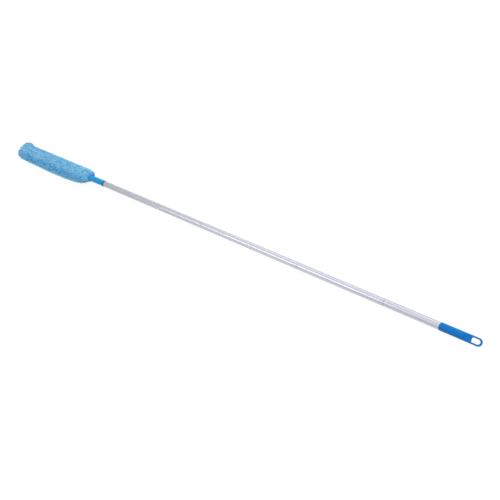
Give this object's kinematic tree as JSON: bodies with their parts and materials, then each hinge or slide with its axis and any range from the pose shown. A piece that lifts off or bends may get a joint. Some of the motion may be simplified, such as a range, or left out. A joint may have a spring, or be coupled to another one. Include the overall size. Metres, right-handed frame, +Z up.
{
  "type": "extendable duster",
  "caption": "Extendable duster: a long plush microfibre sleeve on a flat bendable blade, at the end of a slim pole of rods screwed end to end, with a moulded grip that has a hang slot.",
  "frame": {"origin": "middle of the footprint on the floor that the duster lies on", "axes": "+X runs along the pole from the plush tip to the grip, +Z is up off the floor, +Y is the side with the sleeve's ear"},
  "size_m": [2, 0.0742, 0.03],
  "materials": {
    "plush": "deep sky-blue microfibre pile, matt with a soft sheen",
    "elastic": "woven elastic band, matt",
    "neck_plastic": "azure moulded plastic, satin gloss",
    "blade_plastic": "milky white polypropylene",
    "rivet_metal": "bright aluminium",
    "rod_steel": "satin drawn steel tube",
    "black_nylon": "black moulded nylon",
    "grip_plastic": "deep blue moulded plastic with a fine grain"
  },
  "bodies": {
    "grip_stage": {"grip": "grip_plastic", "rod_5": "rod_steel", "thread_plug_5": "black_nylon"},
    "rod_stage_4": {"rod_4": "rod_steel", "thread_plug_4": "black_nylon", "thread_socket_4": "black_nylon"},
    "rod_stage_3": {"rod_3": "rod_steel", "thread_plug_3": "black_nylon", "thread_socket_3": "black_nylon"},
    "rod_stage_2": {"rod_2": "rod_steel", "thread_plug_2": "black_nylon", "thread_socket_2": "black_nylon"},
    "rod_stage_1": {"rod_1": "rod_steel", "thread_plug_1": "black_nylon", "thread_socket_1": "black_nylon"},
    "head": {"head_neck": "neck_plastic", "head_blade": "blade_plastic", "blade_rivet_1": "rivet_metal", "blade_rivet_2": "rivet_metal"},
    "sleeve": {"plush_sleeve": "plush", "mouth_elastic": "elastic"}
  },
  "joints": [
    {"name": "rod_4_unscrews", "type": "slide", "parent": "grip_stage", "child": "rod_stage_4", "axis": [-1, 0, 0], "range_m": [0, 0.045]},
    {"name": "rod_3_unscrews", "type": "slide", "parent": "rod_stage_4", "child": "rod_stage_3", "axis": [-1, 0, 0], "range_m": [0, 0.045]},
    {"name": "rod_2_unscrews", "type": "slide", "parent": "rod_stage_3", "child": "rod_stage_2", "axis": [-1, 0, 0], "range_m": [0, 0.045]},
    {"name": "rod_1_unscrews", "type": "slide", "parent": "rod_stage_2", "child": "rod_stage_1", "axis": [-1, 0, 0], "range_m": [0, 0.045]},
    {"name": "head_unscrews", "type": "slide", "parent": "rod_stage_1", "child": "head", "axis": [-1, 0, 0], "range_m": [0, 0.045]},
    {"name": "sleeve_pulls_off", "type": "slide", "parent": "head", "child": "sleeve", "axis": [-1, 0, 0], "range_m": [0, 0.46]}
  ]
}
